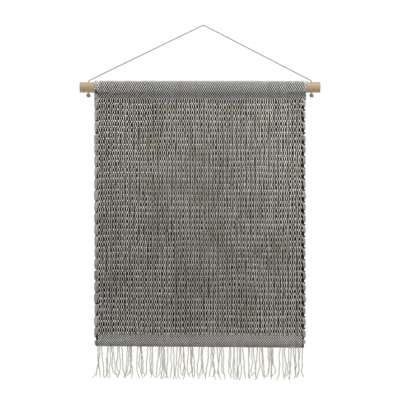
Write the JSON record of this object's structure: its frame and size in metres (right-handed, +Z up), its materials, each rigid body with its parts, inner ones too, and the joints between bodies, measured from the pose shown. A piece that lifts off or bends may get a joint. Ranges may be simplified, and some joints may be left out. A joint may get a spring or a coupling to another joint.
{
  "type": "tapestry wall hanging",
  "caption": "Woven wall hanging with a rod pocket on a round wooden dowel, ribbed oval weave, dense hem band and yarn fringe, hung by a cord knotted through the dowel.",
  "frame": {"origin": "underside of the hanging cord where the wall nail carries it", "axes": "+X along the dowel, to the right seen from the front; +Y into the wall; +Z up"},
  "size_m": [0.566, 0.0326, 0.8356],
  "materials": {
    "pale_wood": "bare sanded wood",
    "cotton_cord": "matt twisted cotton",
    "band_weave": "matt dense plain weave, pale and charcoal",
    "body_weave": "matt ribbed weave, pale warps over thick charcoal wefts",
    "selvedge_yarn": "matt looped yarn",
    "sewing_thread": "matt dark thread",
    "fringe_yarn": "matt cream yarn"
  },
  "bodies": {
    "rail": {"dowel": "pale_wood", "hanging_cord": "cotton_cord", "knot_left": "cotton_cord", "knot_right": "cotton_cord"},
    "cloth_upper": {"rod_pocket": "band_weave", "pocket_stitching": "sewing_thread", "panel_upper": "body_weave", "selvedge_left_upper": "selvedge_yarn", "selvedge_right_upper": "selvedge_yarn"},
    "cloth_middle": {"panel_middle": "body_weave", "selvedge_left_middle": "selvedge_yarn", "selvedge_right_middle": "selvedge_yarn"},
    "cloth_lower": {"panel_lower": "body_weave", "selvedge_left_lower": "selvedge_yarn", "selvedge_right_lower": "selvedge_yarn", "hem_band": "band_weave"},
    "fringe": {"fringe_01": "fringe_yarn", "fringe_02": "fringe_yarn", "fringe_03": "fringe_yarn", "fringe_04": "fringe_yarn", "fringe_05": "fringe_yarn", "fringe_06": "fringe_yarn", "fringe_07": "fringe_yarn", "fringe_08": "fringe_yarn", "fringe_09": "fringe_yarn", "fringe_10": "fringe_yarn", "fringe_11": "fringe_yarn", "fringe_12": "fringe_yarn", "fringe_13": "fringe_yarn", "fringe_14": "fringe_yarn", "fringe_15": "fringe_yarn", "fringe_16": "fringe_yarn", "fringe_17": "fringe_yarn", "fringe_18": "fringe_yarn", "fringe_19": "fringe_yarn", "fringe_20": "fringe_yarn", "fringe_21": "fringe_yarn", "fringe_22": "fringe_yarn", "fringe_23": "fringe_yarn", "fringe_24": "fringe_yarn", "fringe_25": "fringe_yarn", "fringe_26": "fringe_yarn", "fringe_27": "fringe_yarn", "fringe_28": "fringe_yarn", "fringe_29": "fringe_yarn", "fringe_30": "fringe_yarn", "fringe_31": "fringe_yarn", "fringe_32": "fringe_yarn", "fringe_33": "fringe_yarn", "fringe_34": "fringe_yarn", "fringe_35": "fringe_yarn", "fringe_36": "fringe_yarn", "fringe_37": "fringe_yarn", "fringe_38": "fringe_yarn", "fringe_39": "fringe_yarn", "fringe_40": "fringe_yarn"}
  },
  "joints": [
    {"name": "cloth_swing", "type": "hinge", "parent": "rail", "child": "cloth_upper", "pos_m": [-0.008, 0, -0.1448], "axis": [-1, 0, 0], "range_deg": [-90, 90]},
    {"name": "upper_fold", "type": "hinge", "parent": "cloth_upper", "child": "cloth_middle", "pos_m": [-0.008, 0, -0.3592], "axis": [-1, 0, 0], "range_deg": [-90, 90]},
    {"name": "lower_fold", "type": "hinge", "parent": "cloth_middle", "child": "cloth_lower", "pos_m": [-0.008, 0, -0.5439], "axis": [-1, 0, 0], "range_deg": [-90, 90]},
    {"name": "fringe_swing", "type": "hinge", "parent": "cloth_lower", "child": "fringe", "pos_m": [-0.008, 0, -0.758], "axis": [-1, 0, 0], "range_deg": [-60, 60]}
  ]
}
